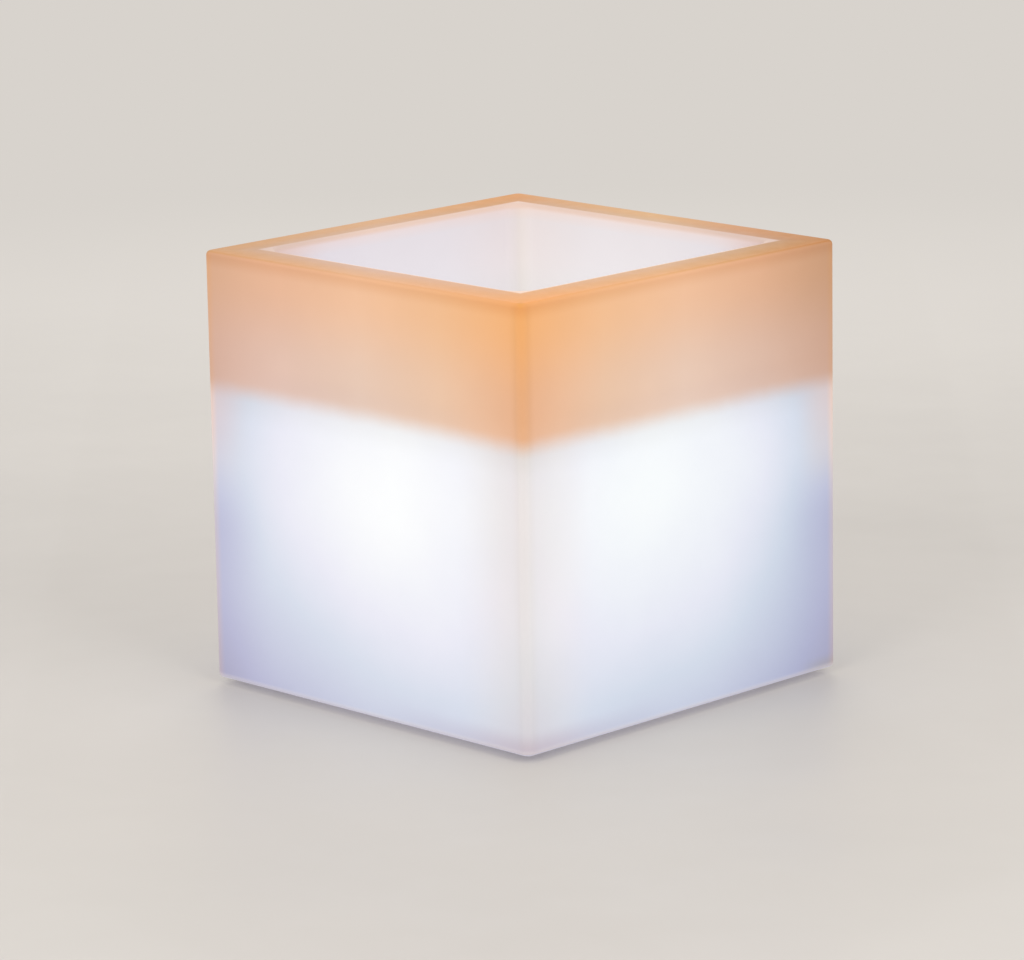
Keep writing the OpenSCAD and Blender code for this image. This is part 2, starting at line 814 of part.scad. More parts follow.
module board_screws() {
    color("silver") for (p = board_spots) translate([p[0], p[1], board_top]) down_screw();
}

module switch_body() {
    well = plunger_w / 2 + plunger_gap;
    color("black")
        difference() {
            translate([button_x - switch_w / 2, button_y - switch_w / 2, switch_low])
                cube([switch_w, switch_w, switch_h]);
            translate([button_x - well, button_y - well, switch_low - cut])
                cube([2 * well, 2 * well, plunger_room + cut]);
        }
}

module switch_plunger() {
    color("ivory")
        translate([button_x - plunger_w / 2, button_y - plunger_w / 2, plunger_low])
            cube([plunger_w, plunger_w, plunger_proud + plunger_in]);
}

module power_button() {
    color("lightgray")
        translate([button_x, button_y, 0]) {
            rotate_extrude() post_profile(button_r, button_low, cover_top + eps, button_edge_r, 0);
            translate([0, 0, cover_top])
                cylinder(r = button_r + button_fit + button_flange_w, h = button_flange_t);
            translate([0, 0, cover_top]) cylinder(r = button_stem_r, h = plunger_low - cover_top);
        }
}

module charge_jack() {
    color("dimgray")
        translate([jack_x, bay_y, 0]) {
            difference() {
                union() {
                    translate([0, 0, jack_low]) cylinder(r = jack_flange_r, h = jack_flange_t);
                    translate([0, 0, bay_roof - eps]) cylinder(r = jack_r, h = jack_barrel_l + eps);
                }
                translate([0, 0, jack_low - cut]) cylinder(r = jack_bore_r, h = jack_bore_depth + cut);
            }
            translate([0, 0, jack_low + jack_pin_recess])
                cylinder(r = jack_pin_r, h = jack_bore_depth - jack_pin_recess + eps);
            for (i = [-1 : 1])
                translate([i * lug_pitch - lug_w / 2, -lug_d / 2, jack_top - eps])
                    cube([lug_w, lug_d, lug_h + eps]);
        }
}

module jack_nut() {
    color("silver")
        translate([jack_x, bay_y, bay_roof + bay_t])
            difference() {
                cylinder(r = jack_r + nut_corner_w, h = nut_t, $fn = 6);
                translate([0, 0, -cut]) cylinder(r = jack_r + thread_gap, h = nut_t + 2 * cut);
            }
}

module jack_cap() {
    color("dimgray")
        translate([jack_x, bay_y, 0]) {
            translate([0, 0, cap_top - cap_t]) cylinder(r = cap_r, h = cap_t);
            translate([0, 0, cap_top - eps]) cylinder(r = cap_stub_r, h = cap_stub_h + eps);
            translate([0, -cap_strap_w / 2, cap_top - cap_strap_t])
                cube([cap_reach, cap_strap_w, cap_strap_t]);
            translate([cap_reach, 0, cap_top - cap_strap_t / 2])
                rotate([90, 0, 0]) cylinder(r = cap_strap_t / 2, h = cap_strap_w, center = true);
            translate([-cap_r - pull_tab_l, -cap_strap_w / 2, cap_top - cap_strap_t])
                cube([cap_r, cap_strap_w, cap_strap_t]);
        }
}

module cap_anchor() {
    color("dimgray") {
        translate([anchor_x, bay_y - anchor_w / 2, hinge_z - cap_strap_t / 2])
            cube([anchor_l, anchor_w, bay_roof - hinge_z + cap_strap_t / 2]);
        translate([rivet_x, bay_y, bay_roof - eps]) cylinder(r = rivet_r, h = bay_t + eps);
        translate([rivet_x, bay_y, bay_roof + bay_t]) cylinder(r = rivet_head_r, h = rivet_head_h);
    }
}

// A smooth tube along a route of points, flat at both ends
module lead(route) {
    sides = 8;
    path = smooth(route);
    last = len(path) - 1;
    stop = len(route) - 1;
    rings = [for (i = [0 : last])
        tube_ring(path[i], sides,
            i == 0 ? route[1] - route[0]
            : i == last ? route[stop] - route[stop - 1]
            : path[i + 1] - path[i - 1])];
    points = [for (ring = rings, p = ring) p];
    skin = [for (i = [0 : last - 1], k = [0 : sides - 1], half = [0, 1])
        let (a = i * sides + k, b = i * sides + (k + 1) % sides)
        half == 0 ? [a, b + sides, b] : [a, a + sides, b + sides]];
    polyhedron(points, concat([[for (k = [0 : sides - 1]) k]], skin,
        [[for (k = [sides - 1 : -1 : 0]) last * sides + k]]));
}

// Catmull-Rom points along a route
function smooth(p) = [
    for (i = [0 : len(p) - 2], s = [0 : lead_steps - 1]) curve(p, i, s / lead_steps),
    p[len(p) - 1]
];
function curve(p, i, t) =
    let (a = p[max(i - 1, 0)], b = p[i], c = p[i + 1], d = p[min(i + 2, len(p) - 1)])
    0.5 * (2 * b + (c - a) * t + (2 * a - 5 * b + 4 * c - d) * t * t + (3 * b - a - 3 * c + d) * t * t * t);

function unit(v) = v / norm(v);

// One ring of the tube, square to the way ahead
function tube_ring(middle, sides, way) =
    let (
        ahead = unit(way),
        across = unit(cross(ahead, [0.31, 0.83, 0.46])),
        over = cross(ahead, across)
    )
    [for (k = [0 : sides - 1])
        middle + lead_r * (cos(k * 360 / sides) * across + sin(k * 360 / sides) * over)];

module led_lead() {
    color("darkred") lead(led_route);
}

module battery_lead() {
    color("darkred") lead(battery_route);
}

module jack_lead() {
    color("black") lead(jack_route);
}

planter_body();
threaded_inserts();
feet();
foot_screws();
base_cover();
cover_gasket();
cover_screws();
light_housing();
housing_screws();
led_board();
led_chips();
led_board_screws();
dome_seal();
led_dome();
dome_screws();
battery_tray();
battery_cells();
cell_links();
battery_straps();
strap_screws();
control_board();
board_parts();
board_screws();
switch_body();
switch_plunger();
power_button();
charge_jack();
jack_nut();
jack_cap();
cap_anchor();
led_lead();
battery_lead();
jack_lead();
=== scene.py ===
import json
import math
import bmesh
import bpy
from mathutils import Matrix, Vector


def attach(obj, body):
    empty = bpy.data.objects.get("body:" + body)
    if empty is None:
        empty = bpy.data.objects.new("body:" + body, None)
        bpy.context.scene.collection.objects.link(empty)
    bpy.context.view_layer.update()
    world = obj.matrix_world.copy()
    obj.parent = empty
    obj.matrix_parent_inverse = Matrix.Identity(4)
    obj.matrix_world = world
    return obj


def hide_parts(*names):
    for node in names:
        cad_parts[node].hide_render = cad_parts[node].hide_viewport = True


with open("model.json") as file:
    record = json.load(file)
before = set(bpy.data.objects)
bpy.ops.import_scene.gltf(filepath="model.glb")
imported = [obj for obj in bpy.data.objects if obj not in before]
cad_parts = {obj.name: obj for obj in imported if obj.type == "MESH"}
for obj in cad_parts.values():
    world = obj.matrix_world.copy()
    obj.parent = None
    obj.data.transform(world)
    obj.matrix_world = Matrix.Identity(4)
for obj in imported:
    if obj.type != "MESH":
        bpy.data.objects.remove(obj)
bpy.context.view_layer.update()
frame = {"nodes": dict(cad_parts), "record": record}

mm = 0.001
samePlace = 1e-6    # points nearer than this are one
slack = 1e-4


# The direction from the planter to what lies at this azimuth and elevation, in degrees
def towards(azimuth, elevation):
    azimuth, elevation = math.radians(azimuth), math.radians(elevation)
    flat = math.cos(elevation)
    return Vector((math.sin(azimuth) * flat, -math.cos(azimuth) * flat, math.sin(elevation)))


print("camera")
cameraView = {
    "azimuth": 45.07,       # degrees round the planter, towards its front corner
    "elevation": 13.01,
    "roll": -1.002,
    "distance": 4.2602,     # metres from the point that it looks at
    "lookAt": Vector((-0.00474, -0.00951, 0.18547)),
    "lens": 166.04,
    "sensor": 36,
    "farthest": 60,
}
scene = bpy.context.scene
azimuth, roll = math.radians(cameraView["azimuth"]), math.radians(cameraView["roll"])
back = towards(cameraView["azimuth"], cameraView["elevation"])
level = Vector((math.cos(azimuth), math.sin(azimuth), 0))
upward = back.cross(level)
right = level * math.cos(roll) + upward * math.sin(roll)
up = upward * math.cos(roll) - level * math.sin(roll)
camera = bpy.data.objects.new("camera", bpy.data.cameras.new("camera"))
camera.data.lens = cameraView["lens"]
camera.data.sensor_width = cameraView["sensor"]
camera.data.clip_end = cameraView["farthest"]
place = cameraView["lookAt"] + back * cameraView["distance"]
camera.matrix_world = Matrix.Translation(place) @ Matrix((right, up, back)).transposed().to_4x4()
scene.collection.objects.link(camera)
scene.camera = camera
scene.view_settings.view_transform = "Standard"


# Colours are picked as 0 to 255 screen values
def paint(red, green, blue):
    def linear(c):
        c /= 255
        return c / 12.92 if c <= 0.04045 else ((c + 0.055) / 1.055) ** 2.4
    return (linear(red), linear(green), linear(blue), 1)


def plug(tree, value, socket):
    if isinstance(value, bpy.types.NodeSocket):
        tree.links.new(value, socket)
    else:
        socket.default_value = value


def addNode(tree, kind, inputs=None, **settings):
    node = tree.nodes.new(kind)
    for name, value in settings.items():
        setattr(node, name, value)
    for name, value in (inputs or {}).items():
        plug(tree, value, node.inputs[name])
    return node


def maths(tree, operation, *values):
    return addNode(tree, "ShaderNodeMath", dict(enumerate(values)), operation=operation).outputs[0]


def times(tree, *values):
    return maths(tree, "MULTIPLY", *values)


# Goes smoothly from bottom to top while value goes from low to high
def fade(tree, value, low, high, top=1.0, bottom=0.0):
    ends = {"Value": value, "From Min": low, "From Max": high, "To Min": bottom, "To Max": top}
    return addNode(tree, "ShaderNodeMapRange", ends, interpolation_type="SMOOTHSTEP").outputs["Result"]


def mixColour(tree, factor, a, b, blend="MIX"):
    node = addNode(tree, "ShaderNodeMix", data_type="RGBA", blend_type=blend)
    plug(tree, factor, node.inputs[0])
    plug(tree, a, node.inputs[6])
    plug(tree, b, node.inputs[7])
    return node.outputs[2]


def ramp(tree, factor, stops):
    node = addNode(tree, "ShaderNodeValToRGB", {"Fac": factor})
    elements = node.color_ramp.elements
    while len(elements) < len(stops):
        elements.new(0.5)
    for element, (position, rgb) in zip(elements, stops):
        element.position = position
        element.color = paint(*rgb)
    return node.outputs["Color"]


def noise(tree, where, scale, detail=2.0, stretch=None):
    if stretch:
        where = addNode(tree, "ShaderNodeMapping", {"Vector": where, "Scale": stretch}).outputs[0]
    node = addNode(tree, "ShaderNodeTexNoise", {"Vector": where, "Scale": scale, "Detail": detail})
    return node.outputs["Fac"]


# Lightens and darkens a colour in clouds
def mottled(tree, colour, cloud, light, dark):
    return mixColour(tree, 1, colour, fade(tree, cloud, 0.3, 0.7, light, dark), "MULTIPLY")


def bumped(tree, height, strength, depth, **others):
    inputs = {"Height": height, "Strength": strength, "Distance": depth, **others}
    return addNode(tree, "ShaderNodeBump", inputs).outputs[0]


def newGroup(name, inputs, outputs):
    tree = bpy.data.node_groups.new(name, "ShaderNodeTree")
    for label, kind, value in inputs:
        tree.interface.new_socket(label, in_out="INPUT", socket_type=kind).default_value = value
    for label, kind in outputs:
        tree.interface.new_socket(label, in_out="OUTPUT", socket_type=kind)
    return tree, tree.nodes.new("NodeGroupInput").outputs, tree.nodes.new("NodeGroupOutput").inputs


def newMaterialTree(name):
    material = bpy.data.materials.new(name)
    material.use_nodes = True
    return material, material.node_tree, material.node_tree.nodes["Principled BSDF"]


print("stage and lights")
studio = {
    "floorColour": paint(198, 193, 187),
    "backdropColour": paint(216, 211, 205),
    "floorSize": 26,
    "haze": (0.9, 2.8),           # distances over which the floor turns into the backdrop
    "openUnder": (0.19, 0.17),    # half the square below the planter that lets the sky's light up to it
    "skyLevel": 0.80,
    # Azimuth, elevation, distance, size and watts
    "lamps": [(10, 28, 3.4, 1.8, 36), (82, 28, 3.4, 1.8, 34), (225, 21, 3.6, 2.2, 48), (45, 80, 3.0, 2.0, 6)],
    "lampAim": Vector((0, 0, 0.2)),
}
bm = bmesh.new()
bmesh.ops.create_grid(bm, x_segments=1, y_segments=1, size=studio["floorSize"] / 2)
floor = bpy.data.objects.new("floor", bpy.data.meshes.new("floor"))
bm.to_mesh(floor.data)
bm.free()
scene.collection.objects.link(floor)
floorMaterial, tree, shader = newMaterialTree("paleFloor")
where = addNode(tree, "ShaderNodeTexCoord").outputs["Object"]
apart = addNode(tree, "ShaderNodeVectorMath", {0: where}, operation="LENGTH").outputs["Value"]
stain = fade(tree, apart, 1.0, 3.0, 1.0, 0.95)
stained = mottled(tree, studio["floorColour"], noise(tree, where, 1.6, 4), 1.0, stain)
plug(tree, stained, shader.inputs["Base Color"])
plug(tree, fade(tree, noise(tree, where, 6, 3), 0.3, 0.7, 0.5, 0.4), shader.inputs["Roughness"])
path = addNode(tree, "ShaderNodeLightPath").outputs
lensOrMirror = maths(tree, "MAXIMUM", path["Is Camera Ray"], path["Is Glossy Ray"])
distant = addNode(tree, "ShaderNodeEmission", {"Color": studio["backdropColour"]}).outputs[0]
haze = times(tree, fade(tree, apart, *studio["haze"]), lensOrMirror)
surface = addNode(tree, "ShaderNodeMixShader", {0: haze, 1: shader.outputs[0], 2: distant}).outputs[0]
# From below the floor lets the underside be seen, and lets the sky light it
below = addNode(tree, "ShaderNodeNewGeometry").outputs["Backfacing"]
x, y, _ = addNode(tree, "ShaderNodeSeparateXYZ", {0: where}).outputs
outward = maths(tree, "MAXIMUM", maths(tree, "ABSOLUTE", x), maths(tree, "ABSOLUTE", y))
unseen = maths(tree, "SUBTRACT", 1, path["Is Camera Ray"])
covered = times(tree, fade(tree, outward, *studio["openUnder"]), unseen)
clear = addNode(tree, "ShaderNodeBsdfTransparent").outputs[0]
through = maths(tree, "MAXIMUM", below, covered)
either = addNode(tree, "ShaderNodeMixShader", {0: through, 1: surface, 2: clear})
tree.links.new(either.outputs[0], tree.nodes["Material Output"].inputs[0])
floor.data.materials.append(floorMaterial)

# The sky lights the object, and what the camera and reflections see of it is the backdrop's own tone
world = bpy.data.worlds.new("studio")
scene.world = world
world.use_nodes = True
tree = world.node_tree
tree.nodes.clear()
path = addNode(tree, "ShaderNodeLightPath").outputs
seen = maths(tree, "MAXIMUM", path["Is Glossy Ray"], path["Is Transmission Ray"])
seen = maths(tree, "MAXIMUM", path["Is Camera Ray"], seen)
sky = addNode(tree, "ShaderNodeBackground", {"Color": (1, 1, 1, 1), "Strength": studio["skyLevel"]})
backdrop = addNode(tree, "ShaderNodeBackground", {"Color": studio["backdropColour"], "Strength": 1.0})
either = addNode(tree, "ShaderNodeMixShader", {0: seen, 1: sky.outputs[0], 2: backdrop.outputs[0]})
tree.links.new(either.outputs[0], addNode(tree, "ShaderNodeOutputWorld").inputs[0])


def addLamp(name, azimuth, elevation, distance, size, watts):
    away = towards(azimuth, elevation)
    data = bpy.data.lights.new(name, "AREA")
    data.size, data.energy = size, watts
    lamp = bpy.data.objects.new(name, data)
    lamp.location = distance * away + studio["lampAim"]
    lamp.rotation_mode = "QUATERNION"
    lamp.rotation_quaternion = away.to_track_quat("Z", "Y")
    lamp.visible_camera = lamp.visible_glossy = False
    scene.collection.objects.link(lamp)


for i, lamp in enumerate(studio["lamps"]):
    addLamp(f"softLamp{i}", *lamp)


print("shared surfaces")
# Fine moulded grain with slow drifts of tone, for plastic and rubber
floatSocket, colourSocket, vectorSocket = "NodeSocketFloat", "NodeSocketColor", "NodeSocketVector"
surfaceOutputs = [("Colour", colourSocket), ("Roughness", floatSocket), ("Normal", vectorSocket)]
skin, given, out = newGroup("mouldedSkin", [
    ("Colour", colourSocket, (0.8, 0.8, 0.8, 1)), ("Roughness", floatSocket, 0.5),
    ("Drift", floatSocket, 0.06), ("Grain Scale", floatSocket, 1200.0),
    ("Grain Depth", floatSocket, 0.00004)], surfaceOutputs)
where = addNode(skin, "ShaderNodeTexCoord").outputs["Object"]
cloud = noise(skin, where, 22.0, 3)
grain = noise(skin, where, given["Grain Scale"], 2)
dark = maths(skin, "SUBTRACT", 1.0, given["Drift"])
plug(skin, mottled(skin, given["Colour"], cloud, 1.0, dark), out["Colour"])
uneven = maths(skin, "MULTIPLY_ADD", maths(skin, "SUBTRACT", grain, 0.5), 0.16, given["Roughness"])
plug(skin, uneven, out["Roughness"])
plug(skin, bumped(skin, grain, 0.6, given["Grain Depth"]), out["Normal"])

# Fine scratches along one way, with a breath of tarnish, for metal
polish, given, out = newGroup("brushedMetal", [
    ("Colour", colourSocket, (0.6, 0.6, 0.6, 1)), ("Roughness", floatSocket, 0.3),
    ("Tarnish", floatSocket, 0.2), ("Scratch Scale", floatSocket, 400.0)], surfaceOutputs)
where = addNode(polish, "ShaderNodeTexCoord").outputs["Object"]
scratch = noise(polish, where, given["Scratch Scale"], 3, (1, 9, 1))
spots = fade(polish, noise(polish, where, 90, 4), 0.45, 0.8, given["Tarnish"])
dulled = mixColour(polish, spots, given["Colour"], paint(96, 84, 70))
sheen = fade(polish, scratch, 0.2, 0.8, 1.0, 0.86)
plug(polish, mixColour(polish, 1, dulled, sheen, "MULTIPLY"), out["Colour"])
brushed = maths(polish, "MULTIPLY_ADD", scratch, 0.14, given["Roughness"])
plug(polish, maths(polish, "ADD", brushed, times(polish, spots, 0.35)), out["Roughness"])
plug(polish, bumped(polish, scratch, 0.35, 0.00003), out["Normal"])


def groupMaterial(name, group, values, metallic):
    material, tree, shader = newMaterialTree(name)
    node = addNode(tree, "ShaderNodeGroup", values, node_tree=group)
    for output, socket in (("Colour", "Base Color"), ("Roughness", "Roughness"), ("Normal", "Normal")):
        plug(tree, node.outputs[output], shader.inputs[socket])
    shader.inputs["Metallic"].default_value = metallic
    return material


def plastic(name, rgb, roughness, drift, scale, depth):
    values = {"Colour": paint(*rgb), "Roughness": roughness, "Drift": drift, "Grain Scale": scale,
              "Grain Depth": depth}
    return groupMaterial(name, skin, values, 0.0)


def metal(name, rgb, roughness, tarnish, scale=400.0):
    values = {"Colour": paint(*rgb), "Roughness": roughness, "Tarnish": tarnish, "Scratch Scale": scale}
    return groupMaterial(name, polish, values, 1.0)


bodyOf = {node: body for body, nodes in frame["record"]["behaviour"]["bodies"].items() for node in nodes}
slotOf = {row["node"]: row["material_slot"] for row in frame["record"]["subparts"]}
# Angles in degrees over which an edge stays sharp, where edges are plain and where they are softened
plainSharp, softSharp = 32, 40


# Gives a mesh its smooth faces and sharp edges, its material and the body that it moves with
def finishPiece(bm, name, material, node, sharp=plainSharp, keepNormals=False):
    bmesh.ops.remove_doubles(bm, verts=bm.verts, dist=samePlace)
    if not keepNormals:
        bmesh.ops.recalc_face_normals(bm, faces=bm.faces)
    for face in bm.faces:
        face.smooth = True
    for edge in bm.edges:
        edge.smooth = len(edge.link_faces) != 2 or edge.calc_face_angle(0) < math.radians(sharp)
    mesh = bpy.data.meshes.new(name)
    bm.to_mesh(mesh)
    bm.free()
    piece = bpy.data.objects.new(name, mesh)
    scene.collection.objects.link(piece)
    mesh.materials.append(material)
    piece.modifiers.new("evenShading", "WEIGHTED_NORMAL").keep_sharp = True
    body, slot = bodyOf[node], slotOf[node]
    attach(piece, body)
    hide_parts(node)


print("planter shell")
shellSizes = {
    "side": 0.400,
    "underside": 0.006,
    "height": 0.400,
    "wall": 0.005,
    "cornerRadius": 0.008,
    "cornerSteps": 15,
    "edgeRadius": 0.004,
    "edgeSteps": 6,
    "rimWidth": 0.040,
    "lipRadius": 0.004,
    "lipSteps": 7,
    "bowlFloor": 0.273,
    "bowlCorner": 0.020,
    "bowlFloorRadius": 0.010,
    "bowlFloorSteps": 8,
    "portRadius": 0.086,
    "recessRadius": 0.108,
    "recessCeiling": 0.014,
    "recessEdge": 0.0008,
    "recessEdgeSteps": 3,
    "footPlace": 0.150,
    "insertCircle": 0.096,
    "wallBow": 0.0006,    # how far the cooled walls draw in at their middle
    # Cuts that let the walls bow in small steps, by height and by place along the sides, in millimetres
    "levelCuts": range(20, 400, 12),
    "uprightCuts": range(-180, 181, 20),
}


def roundOff(bm, edges, radius, steps, clamp=False):
    bmesh.ops.bevel(bm, geom=list(edges), offset=radius, offset_type="OFFSET", affect="EDGES", segments=steps,
                    profile=0.5, material=-1, clamp_overlap=clamp)


# A block with rounded upright edges, turned inside out where it is a hollow
def addBlock(bm, width, low, high, radius, hollow=False):
    made = bmesh.ops.create_cube(bm, size=1)["verts"]
    bmesh.ops.scale(bm, verts=made, vec=(width, width, high - low))
    bmesh.ops.translate(bm, verts=made, vec=(0, 0, (high + low) / 2))
    if hollow:
        bmesh.ops.reverse_faces(bm, faces=list(dict.fromkeys(f for v in made for f in v.link_faces)))
    edges = dict.fromkeys(e for v in made for e in v.link_edges)
    upright = [e for e in edges if abs(e.verts[0].co.z - e.verts[1].co.z) > slack]
    roundOff(bm, upright, radius, shellSizes["cornerSteps"])


# The flat end of a block
def capAt(bm, z, width):
    return next(f for f in bm.faces
                if len(f.verts) > 8 and all(abs(v.co.z - z) < samePlace for v in f.verts)
                and abs(max(v.co.x for v in f.verts) - width / 2) < 1e-5)


# Takes two flat ends away and joins their outlines
def joinCaps(bm, *caps):
    edges = [list(cap.edges) for cap in caps]
    bmesh.ops.delete(bm, geom=list(caps), context="FACES_ONLY")
    bmesh.ops.bridge_loops(bm, edges=[e for loop in edges for e in loop])
    return edges


# Turns a profile of radius and height points about an upright axis
def spinProfile(bm, profile, centre=(0, 0), steps=48):
    turns = [math.tau * i / steps for i in range(steps)]
    rings = [[bm.verts.new((centre[0] + r * math.cos(a), centre[1] + r * math.sin(a), z)) for a in turns]
             for r, z in profile]
    for ring, following in zip(rings, rings[1:]):
        for i in range(steps):
            bm.faces.new((ring[i], ring[i - 1], following[i - 1], following[i]))
    bmesh.ops.remove_doubles(bm, verts=bm.verts, dist=samePlace)


# The open edges at this height that go round the recess
def openRing(bm, z, others):
    s = shellSizes

    def onRing(v):
        reach = v.co.to_2d().length - s["recessRadius"]
        return abs(v.co.z - z) < samePlace and abs(reach) < s["wall"] + slack
    return [e for e in bm.edges
            if len(e.link_faces) == 1 and e not in others and all(onRing(v) for v in e.verts)]


# Draws the flat parts of the outer walls in, most at their middle
def bowWalls(bm):
    s = shellSizes
    half, low, high = s["side"] / 2, s["underside"], s["height"]
    flat = half - s["cornerRadius"]
    for v in bm.verts:
        for i, j in ((0, 1), (1, 0)):
            if abs(v.co[i]) > half - s["wall"] - slack and abs(v.co[j]) < flat and low < v.co.z < high:
                draw = (1 - (v.co[j] / flat) ** 2) * math.sin(math.pi * (v.co.z - low) / (high - low))
                v.co[i] -= math.copysign(s["wallBow"] * draw, v.co[i])


# The same mesh with its faces in one fixed order, because cutting it leaves them in any order
def inOrder(bm):
    bm.verts.index_update()
    rows = []
    for face in bm.faces:
        row = [v.index for v in face.verts]
        start = row.index(min(row))
        rows.append(row[start:] + row[:start])
    ordered = bmesh.new()
    verts = [ordered.verts.new(v.co) for v in bm.verts]
    for row in sorted(rows):
        ordered.faces.new([verts[i] for i in row])
    bm.free()
    return ordered


def buildShell():
    s = shellSizes
    side, low, top, wall, bowlFloor = s["side"], s["underside"], s["height"], s["wall"], s["bowlFloor"]
    opening = side - 2 * s["rimWidth"]
    outerWidth, innerWidth, bowlWidth = side - 2 * s["edgeRadius"], side - 2 * wall, opening + 2 * wall
    bm = bmesh.new()
    addBlock(bm, side, low, top, s["cornerRadius"])
    for z in (low, top):
        roundOff(bm, capAt(bm, z, side).edges, s["edgeRadius"], s["edgeSteps"])
    addBlock(bm, opening, bowlFloor, top, s["bowlCorner"], hollow=True)
    roundOff(bm, capAt(bm, bowlFloor, opening).edges, s["bowlFloorRadius"], s["bowlFloorSteps"])
    lip = joinCaps(bm, capAt(bm, top, outerWidth), capAt(bm, top, opening))[1]
    roundOff(bm, lip, s["lipRadius"], s["lipSteps"])
    # The hollow between the two walls of the double part
    addBlock(bm, innerWidth, low + wall, top - wall, s["cornerRadius"] - wall, hollow=True)
    addBlock(bm, bowlWidth, bowlFloor - wall, top - wall, s["bowlCorner"] + wall)
    under = capAt(bm, bowlFloor - wall, bowlWidth).edges
    roundOff(bm, under, s["bowlFloorRadius"] + wall, s["bowlFloorSteps"])
    joinCaps(bm, capAt(bm, top - wall, innerWidth), capAt(bm, top - wall, bowlWidth))
    # The port: up from the recess in the underside, through the bore and down to the inside of the floor
    inside, outside = capAt(bm, low + wall, innerWidth), capAt(bm, low, outerWidth)
    insideEdges, outsideEdges = list(inside.edges), list(outside.edges)
    bmesh.ops.delete(bm, geom=[inside, outside], context="FACES_ONLY")
    ceiling, port, recess = s["recessCeiling"], s["portRadius"], s["recessRadius"]
    portProfile = [(recess, low), (recess, ceiling), (port, ceiling), (port, ceiling + wall),
                   (recess + wall, ceiling + wall), (recess + wall, low + wall)]
    spinProfile(bm, portProfile, steps=4 * (s["cornerSteps"] + 1))
    for z, others in ((low + wall, insideEdges), (low, outsideEdges)):
        ring = openRing(bm, z, others)
        bmesh.ops.bridge_loops(bm, edges=others + ring)
    roundOff(bm, ring, s["recessEdge"], s["recessEdgeSteps"])
    bmesh.ops.recalc_face_normals(bm, faces=bm.faces)
    cuts = [((0, 0, z * mm), (0, 0, 1)) for z in s["levelCuts"]]
    for axis in ((1, 0, 0), (0, 1, 0)):
        cuts += [(Vector(axis) * (d * mm), axis) for d in s["uprightCuts"]]
    for spot, axis in cuts:
        geometry = [*bm.verts, *bm.edges, *bm.faces]
        bmesh.ops.bisect_plane(bm, geom=geometry, dist=1e-7, plane_co=spot, plane_no=axis)
    bowWalls(bm)
    return inOrder(bm)


# One solid for each turned profile, all in one object to join on or to cut with
def solidObject(profiles, steps=40):
    bm = bmesh.new()
    for centre, profile in profiles:
        part = bmesh.new()
        spinProfile(part, profile, centre, steps)
        bmesh.ops.recalc_face_normals(part, faces=part.faces)
        mesh = bpy.data.meshes.new("part")
        part.to_mesh(mesh)
        part.free()
        bm.from_mesh(mesh)
        bpy.data.meshes.remove(mesh)
    made = bpy.data.objects.new("cutter", bpy.data.meshes.new("cutter"))
    bm.to_mesh(made.data)
    bm.free()
    scene.collection.objects.link(made)
    return made


def scaled(profile):
    return [(r * mm, z * mm) for r, z in profile]


# Posts for the threaded inserts, and the seats and bores that are cut into them
footSpots = [(x * shellSizes["footPlace"], y * shellSizes["footPlace"]) for x in (-1, 1) for y in (-1, 1)]
coverSpots = [(shellSizes["insertCircle"] * math.cos(math.radians(a)),
               shellSizes["insertCircle"] * math.sin(math.radians(a))) for a in range(30, 390, 60)]
footPost = scaled([(0, 10), (23.2, 10), (23.2, 14), (8, 14), (8, 26), (0, 26)])
coverPost = scaled([(0, 15), (8, 15), (8, 31), (0, 31)])
footBore = scaled([(0, 4), (18.2, 4), (18.2, 9), (4, 9), (4, 19), (2.25, 19), (2.25, 23), (0, 23)])
coverBore = scaled([(0, 12), (4, 12), (4, 24), (2.25, 24), (2.25, 28), (0, 28)])
posts = solidObject([(p, footPost) for p in footSpots] + [(p, coverPost) for p in coverSpots])
bores = solidObject([(p, footBore) for p in footSpots] + [(p, coverBore) for p in coverSpots])


def withBooleans(bm, steps):
    work = bpy.data.objects.new("work", bpy.data.meshes.new("work"))
    bm.to_mesh(work.data)
    bm.free()
    scene.collection.objects.link(work)
    for operation, other in steps:
        modifier = work.modifiers.new(operation, "BOOLEAN")
        modifier.operation, modifier.object, modifier.solver = operation, other, "EXACT"
    result = work.evaluated_get(bpy.context.evaluated_depsgraph_get()).to_mesh()
    bm = bmesh.new()
    bm.from_mesh(result)
    for o in (work, *(other for _, other in steps)):
        bpy.data.objects.remove(o)
    return bm


shellMesh = withBooleans(buildShell(), [("UNION", posts), ("DIFFERENCE", bores)])


print("lit shell material")
